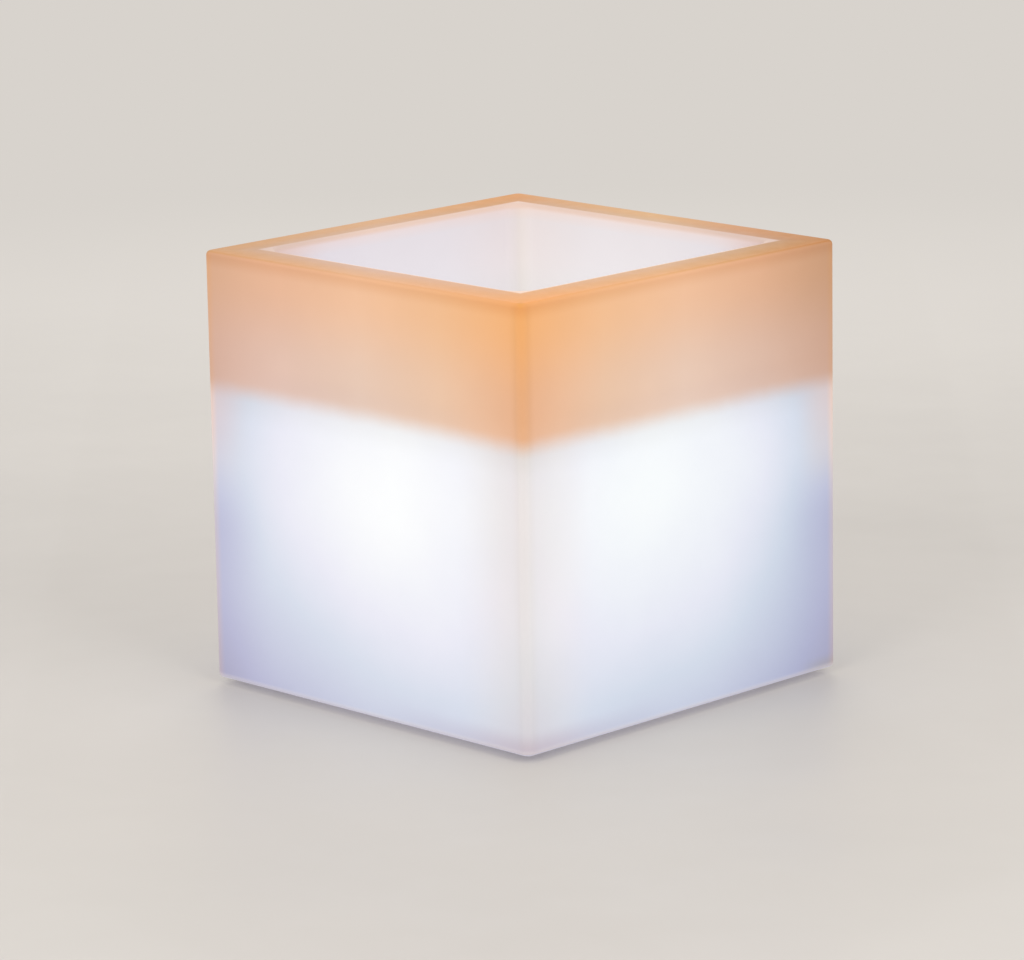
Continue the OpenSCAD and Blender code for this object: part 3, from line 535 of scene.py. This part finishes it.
# A range names a measure of shellPlace, where its effect starts, where it is full and, unless they are 1 and
# 0, its strengths at the full end and at the start. A touch multiplies a colour by a tint within its ranges,
# and a wash lays a colour over it.
# Most touches and washes below paint lamplight, light and shade into the colour
nearHalf = ("forward", -0.012, 0.012)    # of the rim
shellLight = {
    "ownLight": 0.5,          # share of the colour that the wall gives off by itself
    "clouds": (9, 3),         # scale and detail
    "heightMiddle": 0.215,    # height where the lit chamber is brightest
    "heightPower": 1.6,
    "heightLoss": ("along", 0.0, 0.45, -0.36, -0.22),
    "alongMiddle": 0.4,       # where along the walls it is brightest
    "alongPower": 1.8,
    "alongLoss": -0.9,
    "dusk": [("along", 0.78, 0.99), ("z", 0.225, 0.145)],
    "duskLoss": -0.09,
    "litStops": [(0.40, (172, 170, 198)), (0.505, (185, 186, 215)), (0.75, (215, 222, 237)),
                 (0.854, (234, 235, 247)), (1.0, (251, 253, 255))],
    "litClouds": (1.012, 0.985),
    "litTouches": [
        # The front corner, in painted light and shade: warm, dimmer above its foot, and a little paler on its
        # right
        ((1.06, 0.985, 0.90), ("along", 0.22, 0.0)),
        ((0.925, 0.94, 0.94), ("along", 0.22, 0.05), ("z", 0.09, 0.2)),
        ((1.012, 1.028, 1.032), ("turn", 0.0, 0.02), ("turn", 0.16, 0.06), ("z", 0.05, 0.12)),
        # Painted shade under the band, then round the right corner
        ((0.95, 0.96, 0.95), ("z", 0.245, 0.273)),
        ((0.91, 0.93, 0.95), ("turn", 0.6, 0.95), ("z", 0.22, 0.14)),
        ((0.955, 0.977, 0.985), ("turn", 0.08, 0.3), ("turn", 1.0, 0.85)),
        # Painted shade on the side corners, then painted warm light on the right one by itself
        ((0.93, 0.92, 0.96), ("z", 0.22, 0.15), ("z", 0.08, 0.15), ("along", 0.80, 0.97)),
        ((1.0, 0.98, 0.92), ("turn", 0.86, 0.96), ("z", 0.17, 0.21)),
        ((1.0, 0.96, 0.81), ("turn", 0.86, 0.96), ("z", 0.022, 0.010))],
    "sideGlow": ((226, 204, 200), ("along", 0.84, 0.99), ("z", 0.17, 0.27, 0.6)),
    "bandEdge": 0.2772,       # height where the white turns to peach
    "bandDrop": 0.0018,       # how much lower that is at the corners
    "bandShifts": [("turn", 0.03, 0.35, -0.0025), ("turn", -0.6, -0.95, 0.0012)],
    "bandWaves": 0.0016,
    "waveScale": 40,
    "bandBlur": 0.011,        # half the height over which most of the change takes place
    "bandSpread": 0.030,      # and half the height of the faint rest of it
    "spreadShare": 0.22,
    "lowBand": [(0, (231, 176, 137)), (0.25, (233, 196, 168)), (0.5, (231, 201, 182)),
                (0.75, (223, 189, 171)), (1, (208, 167, 146))],
    "highBand": [(0, (241, 176, 115)), (0.25, (241, 189, 144)), (0.5, (240, 192, 156)),
                 (0.75, (230, 180, 146)), (1, (210, 163, 130))],
    "bandMix": ("z", 0.30, 0.39),
    "bandClouds": (1.01, 0.975),
    "bandTouches": [
        # Painted shade just over the band's edge and down the right side, painted light on the left side, and
        # painted shade along the top of the wall that dims the highlight its rounded edge catches
        ((0.972, 0.972, 0.985), ("z", 0.308, 0.290), ("along", 0.10, 0.25), ("along", 0.90, 0.70)),
        ((0.88, 0.86, 0.82), ("turn", 0.5, 1), ("z", 0.28, 0.385, 1.0, 0.4)),
        ((1.03, 1.05, 1.10), ("turn", -0.5, -0.9)),
        ((0.93, 0.85, 0.76), ("z", 0.384, 0.397))],
    # Tints below the band and in it for the upright corners: a painted highlight on the rounded side corners,
    # and painted shade on the front corner, where the thicker wall lets less lamplight through
    "cornerTints": [
        ((1.20, 1.05, 0.89), (1.05, 0.99, 0.86), ("inner", 0.1855, 0.1955), ("along", 0.6, 0.8)),
        ((0.985, 0.965, 0.93), (0.94, 0.90, 0.80), ("inner", 0.184, 0.198), ("along", 0.3, 0.15))],
    # Painted shade at the foot of the walls by the front corner, then a paler bottom edge
    "lowTouches": [((0.87, 0.80, 0.83), ("along", 0.5, 0), ("z", 0.030, 0.011))],
    "lowEdge": ((226, 218, 220), ("z", 0.0125, 0.0080, 0.45)),
    "underside": ((214, 213, 230), ("z", 0.0085, 0.0065)),
    # The flat rim, which is its top face and what lies within its inner edge
    "rimTop": [("z", 0.3945, 0.3975), ("outward", 0.1995, 0.1975)],
    "rimInside": ("outward", 0.172, 0.168),
    # Round the rim from the left corner to the right one, past the front corner and past the back one; its
    # colours hold painted light and shade
    "nearRim": [(0, (198, 149, 104)), (0.27, (216, 170, 134)), (0.46, (223, 165, 115)),
                (0.5, (230, 163, 102)), (0.6, (222, 166, 116)), (0.72, (216, 166, 120)),
                (0.85, (200, 151, 103)), (1, (181, 122, 67))],
    "farRim": [(0, (198, 149, 104)), (0.27, (210, 163, 121)), (0.46, (209, 150, 95)),
               (0.5, (211, 148, 92)), (0.55, (207, 156, 111)), (0.72, (213, 168, 121)),
               (0.85, (202, 146, 103)), (1, (181, 122, 67))],
    "rimTouches": [
        ((0.93, 1.03, 1.32), ("outward", 0.187, 0.165)),
        ((1.07, 1.0, 0.90), nearHalf, ("outward", 0.184, 0.197))],
    "farLip": ((211, 185, 173), (224, 196, 181), ("along", 0.75, 0.45)),
    "nearLip": ((248, 224, 208), (236, 208, 190), ("along", 0.12, 0.03)),
    "nearLipRanges": [nearHalf, ("along", 0.82, 0.62)],
    "lipEdge": ("outward", 0.1665, 0.1625),
    # Painted shade on the near rim's corners
    "rimCorner": [((0.90, 0.92, 0.80), nearHalf, ("inner", 0.189, 0.197))],
    "inBowl": [("outward", 0.1632, 0.1600), ("z", 0.3990, 0.3945)],
    "bowlStops": [(0.273, (231, 231, 236)), (0.31, (229, 229, 233)), (0.35, (230, 226, 230)),
                  (0.385, (227, 222, 226)), (0.394, (231, 218, 217)), (0.399, (235, 211, 200))],
    "bowlTouches": [
        # Painted light and shade: one far wall darker and the other lighter, darker into the bowl's corners,
        # warmer by the front and back corners and dimmer towards the side ones
        ((0.975, 0.965, 0.97), ("x", -0.150, -0.158)),
        ((1.02, 1.01, 0.98), ("y", 0.150, 0.158)),
        ((0.935, 0.925, 0.88), ("inner", 0.140, 0.158, 0.9)),
        ((1.0, 0.966, 0.935), ("along", 0.28, 0.02)),
        ((0.97, 0.97, 0.99), ("along", 0.38, 0.66))],
    "bowlEnds": ((219, 192, 184), ("along", 0.60, 0.82), ("z", 0.34, 0.395)),
    "bowlGround": ((244, 244, 248), (234, 232, 237), ("outward", 0.05, 0.16)),
    "onGround": ("z", 0.283, 0.2735),
    "bowlClouds": (1.0, 0.98),
}


# Measures of where a point of the shell lies
def shellPlace(tree, where):
    x, y, z = addNode(tree, "ShaderNodeSeparateXYZ", {0: where}).outputs
    sideX, sideY = maths(tree, "ABSOLUTE", x), maths(tree, "ABSOLUTE", y)
    turn = times(tree, maths(tree, "ADD", x, y), 1 / shellSizes["side"])
    front = maths(tree, "MAXIMUM", x, times(tree, y, -1))
    rear = maths(tree, "MAXIMUM", y, times(tree, x, -1))
    return {
        "x": x, "y": y, "z": z,
        "outward": maths(tree, "MAXIMUM", sideX, sideY),
        "inner": maths(tree, "MINIMUM", sideX, sideY),
        "turn": turn,                                       # -1 at the left corner, 1 at the right one
        "along": maths(tree, "ABSOLUTE", turn),             # 0 at the front and back corners
        "forward": maths(tree, "SUBTRACT", front, rear),    # above 0 by the two front walls
    }


# How far a place lies within all of the ranges
def within(tree, at, *ranges):
    share, *others = (fade(tree, at[measure], *ends) for measure, *ends in ranges)
    for other in others:
        share = times(tree, share, other)
    return share


def touchUp(tree, at, colour, touches):
    for tint, *ranges in touches:
        colour = mixColour(tree, within(tree, at, *ranges), colour, (*tint, 1), "MULTIPLY")
    return colour


def wash(tree, at, colour, rgb, *ranges):
    return mixColour(tree, within(tree, at, *ranges), colour, paint(*rgb))


# The lit chamber's wall, by how much lamplight reaches each place of it
def litColour(tree, at, cloud):
    s = shellLight
    rise = maths(tree, "ABSOLUTE", maths(tree, "SUBTRACT", at["z"], s["heightMiddle"]))
    rise = maths(tree, "POWER", maths(tree, "DIVIDE", rise, s["heightMiddle"]), s["heightPower"])
    swing = maths(tree, "ABSOLUTE", maths(tree, "SUBTRACT", at["along"], s["alongMiddle"]))
    swing = maths(tree, "POWER", swing, s["alongPower"])
    dusk = within(tree, at, *s["dusk"])
    riseLoss = within(tree, at, s["heightLoss"])
    glow = fade(tree, cloud, 0.3, 0.7, *s["litClouds"])
    for share, loss in ((rise, riseLoss), (swing, s["alongLoss"]), (dusk, s["duskLoss"])):
        glow = times(tree, glow, maths(tree, "MULTIPLY_ADD", share, loss, 1.0))
    lit = touchUp(tree, at, ramp(tree, glow, s["litStops"]), s["litTouches"])
    return wash(tree, at, lit, *s["sideGlow"])


# The peach band, painted shade where little lamplight reaches, deeper towards the rim and darker towards the
# side corners
def bandColour(tree, at, cloud):
    s = shellLight
    low, high = (ramp(tree, at["along"], s[stops]) for stops in ("lowBand", "highBand"))
    band = mixColour(tree, within(tree, at, s["bandMix"]), low, high)
    return touchUp(tree, at, mottled(tree, band, cloud, *s["bandClouds"]), s["bandTouches"])


# How much of the band each place has, with a wavy and blurred lower edge, the painted edge of the lamplight
def bandShare(tree, at, where):
    s = shellLight
    arch = maths(tree, "MULTIPLY_ADD", at["along"], 2.0, -1.0)
    edge = maths(tree, "MULTIPLY_ADD", times(tree, arch, arch), -s["bandDrop"], s["bandEdge"])
    for shift in s["bandShifts"]:
        edge = maths(tree, "ADD", edge, within(tree, at, shift))
    wave = maths(tree, "SUBTRACT", noise(tree, where, s["waveScale"], 2), 0.5)
    edge = maths(tree, "MULTIPLY_ADD", wave, s["bandWaves"] * 2, edge)
    above = maths(tree, "SUBTRACT", at["z"], edge)
    most = fade(tree, above, -s["bandBlur"], s["bandBlur"], 1 - s["spreadShare"])
    rest = fade(tree, above, -s["bandSpread"], s["bandSpread"], s["spreadShare"])
    return maths(tree, "ADD", most, rest)


# The flat rim and its inner lip, with a painted highlight along the near lip
def rimColour(tree, at):
    s = shellLight
    around = maths(tree, "MULTIPLY_ADD", at["turn"], 0.5, 0.5)
    far, near = (ramp(tree, around, s[stops]) for stops in ("farRim", "nearRim"))
    rim = mixColour(tree, within(tree, at, nearHalf), far, near)
    rim = touchUp(tree, at, rim, s["rimTouches"])
    farLip, nearLip = (wash(tree, at, paint(*first), *over) for first, *over in (s["farLip"], s["nearLip"]))
    lip = mixColour(tree, within(tree, at, *s["nearLipRanges"]), farLip, nearLip)
    rim = mixColour(tree, within(tree, at, s["lipEdge"]), rim, lip)
    return touchUp(tree, at, rim, s["rimCorner"])


# The bowl, in painted lamplight and shade: its floor lies right over the lamp
def bowlColour(tree, at, cloud):
    s = shellLight
    base, depth = shellSizes["bowlFloor"], shellSizes["height"] - shellSizes["bowlFloor"]
    level = maths(tree, "MULTIPLY_ADD", at["z"], 1 / depth, -base / depth)
    bowl = ramp(tree, level, [((z - base) / depth, rgb) for z, rgb in s["bowlStops"]])
    bowl = wash(tree, at, touchUp(tree, at, bowl, s["bowlTouches"]), *s["bowlEnds"])
    middle, *over = s["bowlGround"]
    ground = wash(tree, at, paint(*middle), *over)
    bowl = mixColour(tree, within(tree, at, s["onGround"]), bowl, ground)
    return mottled(tree, bowl, cloud, *s["bowlClouds"])


def buildShellMaterial():
    s = shellLight
    material, tree, shader = newMaterialTree("litPolyethylene")
    where = addNode(tree, "ShaderNodeTexCoord").outputs["Object"]
    at = shellPlace(tree, where)
    cloud = noise(tree, where, *s["clouds"])
    inBand = bandShare(tree, at, where)
    wall = mixColour(tree, inBand, litColour(tree, at, cloud), bandColour(tree, at, cloud))
    # Painted highlight on the side corners and painted shade on the front corner
    for lowTint, bandTint, *ranges in s["cornerTints"]:
        tint = mixColour(tree, inBand, (*lowTint, 1), (*bandTint, 1))
        wall = mixColour(tree, within(tree, at, *ranges), wall, tint, "MULTIPLY")
    wall = wash(tree, at, touchUp(tree, at, wall, s["lowTouches"]), *s["lowEdge"])
    onRim = maths(tree, "MAXIMUM", within(tree, at, *s["rimTop"]), within(tree, at, s["rimInside"]))
    wall = mixColour(tree, onRim, wall, rimColour(tree, at))
    wall = mixColour(tree, within(tree, at, *s["inBowl"]), wall, bowlColour(tree, at, cloud))
    wall = wash(tree, at, wall, *s["underside"])
    # The painted lamplight, light and shade go by these shares into the base colour and into the light that
    # the wall gives off
    for share, socket in ((1 - s["ownLight"], "Base Color"), (s["ownLight"], "Emission Color")):
        plug(tree, mixColour(tree, 1, wall, (share, share, share, 1), "MULTIPLY"), shader.inputs[socket])
    shader.inputs["Emission Strength"].default_value = 1.0
    shader.inputs["Specular IOR Level"].default_value = 0.3
    plug(tree, fade(tree, noise(tree, where, 60, 4), 0.3, 0.7, 0.54, 0.46), shader.inputs["Roughness"])
    fine = bumped(tree, noise(tree, where, 900, 2), 0.35, 0.00006)
    slow = bumped(tree, noise(tree, where, 26, 2), 0.5, 0.0006, Normal=fine)
    plug(tree, slow, shader.inputs["Normal"])
    return material


finishPiece(shellMesh, "planterShell", buildShellMaterial(), "planter_body")


print("inner parts")
# What already feeds a socket of a material's shader
def fedBy(shader, name):
    return shader.inputs[name].links[0].from_socket


# Copper tracks under the green resist
def trackedBoard(name, resist, track, tracksPerMetre):
    material = plastic(name, resist, 0.34, 0.12, 500, 0.00003)
    tree, shader = material.node_tree, material.node_tree.nodes["Principled BSDF"]
    where = addNode(tree, "ShaderNodeTexCoord").outputs["Object"]
    inputs = {"Vector": where, "Scale": tracksPerMetre, "Randomness": 0.8}
    cells = addNode(tree, "ShaderNodeTexVoronoi", inputs, feature="F2", distance="CHEBYCHEV",
                    voronoi_dimensions="2D").outputs["Distance"]
    bands = maths(tree, "FRACT", times(tree, cells, 3.0))
    onTrack = times(tree, fade(tree, bands, 0.30, 0.34), fade(tree, bands, 0.62, 0.58))
    tracked = mixColour(tree, onTrack, fedBy(shader, "Base Color"), paint(*track))
    plug(tree, tracked, shader.inputs["Base Color"])
    raised = bumped(tree, onTrack, 0.5, 0.00005, Normal=fedBy(shader, "Normal"))
    plug(tree, raised, shader.inputs["Normal"])
    return material


# A shrunk sleeve with a paler insulating ring and bare steel at each end of the cells
def sleevedCell(name, rgb, halfLength):
    material = plastic(name, rgb, 0.28, 0.12, 300, 0.00003)
    tree, shader = material.node_tree, material.node_tree.nodes["Principled BSDF"]
    where = addNode(tree, "ShaderNodeTexCoord").outputs["Object"]
    x = addNode(tree, "ShaderNodeSeparateXYZ", {0: where}).outputs[0]
    fromEnd = maths(tree, "SUBTRACT", halfLength, maths(tree, "ABSOLUTE", x))
    end = fade(tree, fromEnd, 0.0007, 0.0004)
    cuff = times(tree, fade(tree, fromEnd, 0.0022, 0.0018), fade(tree, fromEnd, 0.0004, 0.0008))
    sleeve = mixColour(tree, cuff, fedBy(shader, "Base Color"), paint(216, 214, 204))
    plug(tree, mixColour(tree, end, sleeve, paint(188, 186, 180)), shader.inputs["Base Color"])
    plug(tree, end, shader.inputs["Metallic"])
    return material


def glowing(material, rgb, strength):
    shader = material.node_tree.nodes["Principled BSDF"]
    shader.inputs["Emission Color"].default_value = paint(*rgb)
    shader.inputs["Emission Strength"].default_value = strength
    material.cycles.emission_sampling = "NONE"    # it is shut in, so it never lights the scene
    return material


# Plastic and rubber: colour, roughness, drift of tone, grain scale and grain depth.
# Metal: colour, roughness, tarnish and scratch scale.
finishes = {
    "insert_brass": metal("insertBrass", (201, 164, 92), 0.30, 0.25),
    "foot_rubber": plastic("footRubber", (138, 136, 132), 0.78, 0.10, 700, 0.00008),
    "screw_steel": metal("screwSteel", (176, 175, 172), 0.24, 0.10, 700),
    "cover_plastic": plastic("coverPlastic", (214, 214, 210), 0.46, 0.05, 900, 0.00006),
    "gasket_rubber": plastic("gasketRubber", (52, 52, 52), 0.7, 0.12, 900, 0.00006),
    "housing_plastic": plastic("housingPlastic", (222, 222, 219), 0.44, 0.05, 1000, 0.00005),
    "lamp_board": plastic("lampBoard", (236, 236, 232), 0.30, 0.04, 1600, 0.00002),
    "lamp_chip": glowing(plastic("lampChip", (244, 222, 140), 0.25, 0.10, 2500, 0.00002),
                         (255, 252, 242), 2.0),
    "dome_opal": glowing(plastic("opalDome", (244, 244, 246), 0.32, 0.03, 900, 0.00003),
                         (236, 240, 255), 0.9),
    "tray_plastic": plastic("trayPlastic", (46, 50, 53), 0.52, 0.10, 900, 0.00006),
    "cell_wrap": sleevedCell("cellSleeve", (38, 116, 100), 0.0325),
    "link_nickel": metal("linkNickel", (190, 186, 176), 0.28, 0.12, 900),
    "strap_steel": metal("strapSteel", (176, 178, 180), 0.34, 0.18, 500),
    "board_laminate": trackedBoard("boardLaminate", (24, 76, 46), (66, 124, 70), 160),
    "board_part": plastic("boardPart", (32, 32, 34), 0.42, 0.20, 900, 0.00004),
    "switch_plastic": plastic("switchPlastic", (28, 28, 30), 0.48, 0.12, 1200, 0.00004),
    "plunger_plastic": plastic("plungerPlastic", (230, 224, 208), 0.44, 0.06, 1500, 0.00003),
    "button_rubber": plastic("buttonRubber", (182, 182, 184), 0.66, 0.08, 900, 0.00006),
    "jack_plastic": plastic("socketPlastic", (26, 26, 28), 0.36, 0.12, 900, 0.00004),
    "nut_steel": metal("nutSteel", (182, 181, 175), 0.26, 0.12, 700),
    "cap_rubber": plastic("capRubber", (62, 62, 62), 0.7, 0.14, 900, 0.00006),
    "lead_red": plastic("leadRed", (168, 34, 28), 0.42, 0.10, 1200, 0.00003),
    "lead_black": plastic("leadBlack", (30, 30, 30), 0.42, 0.14, 1200, 0.00003),
}
# Widths of the softened edges, in millimetres. A node that isn't named here keeps its edges.
softEdges = {
    "cover_gasket": 0.4, "light_housing": 0.5, "led_dome": 0.3, "dome_seal": 0.3, "battery_tray": 0.35,
    "battery_cells": 0.6, "battery_straps": 0.15, "switch_body": 0.2, "switch_plunger": 0.15,
    "charge_jack": 0.25, "jack_cap": 0.3, "cap_anchor": 0.3, "jack_nut": 0.3, "control_board": 0.1,
    "board_parts": 0.2, "led_board": 0.15, "led_chips": 0.1, "cover_screws": 0.2, "foot_screws": 0.2,
    "housing_screws": 0.15, "led_board_screws": 0.12, "dome_screws": 0.15, "strap_screws": 0.12,
    "board_screws": 0.12, "threaded_inserts": 0.15,
}
newShapes = ("planter_body", "base_cover", "power_button", "feet")
flatAngle, softenAngle = 1, 35    # degrees under which faces are joined and over which edges are softened


def pieceName(node):
    first, *rest = node.split("_")
    return first + "".join(word.capitalize() for word in rest)


# Makes each flat face whole
def flatten(bm):
    bmesh.ops.remove_doubles(bm, verts=bm.verts, dist=samePlace)
    bmesh.ops.dissolve_limit(bm, angle_limit=math.radians(flatAngle), verts=bm.verts, edges=bm.edges)


def solidCopy(node):
    bm = bmesh.new()
    bm.from_mesh(frame["nodes"][node].data)
    flatten(bm)
    return bm


def soften(bm, width):
    edges = [e for e in bm.edges if e.calc_face_angle(0) > math.radians(softenAngle)]
    roundOff(bm, edges, width * mm, 2, clamp=True)


for node in frame["nodes"]:
    if node not in newShapes:
        bm = solidCopy(node)
        if node in softEdges:
            soften(bm, softEdges[node])
        sharp = softSharp if node in softEdges else plainSharp
        finishPiece(bm, pieceName(node), finishes[slotOf[node]], node, sharp, keepNormals=True)


print("base cover, button and feet")
coverDetail = {
    "grooves": (84.0, 102.6),    # radii of the two turned grooves in the plate, in millimetres
    "grooveWidth": 1.0,
    "grooveDepth": 0.6,
    "plateLow": 9.5,
    "overcut": 0.5,              # how far below the plate the cutter starts
    "softEdge": 0.3,
}


# A turned ring groove as a solid to cut with
def grooveCutter(radius):
    plateLow, wide = coverDetail["plateLow"], radius + coverDetail["grooveWidth"]
    low, high = plateLow - coverDetail["overcut"], plateLow + coverDetail["grooveDepth"]
    return scaled([(radius, low), (wide, low), (wide, high), (radius, high), (radius, low)])


def buildCover():
    rings = solidObject([((0, 0), grooveCutter(r)) for r in coverDetail["grooves"]], steps=96)
    bm = withBooleans(solidCopy("base_cover"), [("DIFFERENCE", rings)])
    flatten(bm)
    soften(bm, coverDetail["softEdge"])
    return bm


finishPiece(buildCover(), "baseCover", finishes["cover_plastic"], "base_cover", softSharp, keepNormals=True)

buttonDetail = {
    "spot": (-0.030, 0.034),
    "steps": 64,
    # Radius and height in millimetres, from the middle of the pressed face round to the top of the stem
    "profile": [(0, 8.55), (2.0, 8.5), (4.0, 8.35), (5.4, 8.1), (5.9, 8.0), (6.5, 8.0), (6.88, 8.08),
                (7.2, 8.3), (7.42, 8.62), (7.5, 9.0), (7.5, 12.5), (9.6, 12.5), (9.8, 12.7), (9.8, 13.8),
                (9.6, 14.0), (3.3, 14.0), (3.0, 14.3), (3.0, 20.8), (2.8, 21.0), (0, 21.0)],
}
bm = bmesh.new()
spinProfile(bm, scaled(buttonDetail["profile"]), buttonDetail["spot"], buttonDetail["steps"])
finishPiece(bm, "powerButton", finishes["button_rubber"], "power_button")

footDetail = {
    "steps": 64,
    # From the top of the screw's bore, down the outside and over the tread grooves to the counterbore
    "profile": [(2.25, 9.0), (17.6, 9.0), (18.0, 8.6), (18.0, 1.5), (17.89, 0.93), (17.56, 0.44),
                (17.07, 0.11), (16.5, 0), (15.2, 0), (14.9, 0.9), (13.9, 0.9), (13.6, 0), (12.2, 0),
                (11.9, 0.9), (10.9, 0.9), (10.6, 0), (9.2, 0), (8.9, 0.9), (7.9, 0.9), (7.6, 0), (5.05, 0),
                (4.75, 0.3), (4.75, 4.5), (2.25, 4.5), (2.25, 9.0)],
}
bm = bmesh.new()
for spot in footSpots:
    spinProfile(bm, scaled(footDetail["profile"]), spot, footDetail["steps"])
finishPiece(bm, "rubberFeet", finishes["foot_rubber"], "feet")

print("sizes")
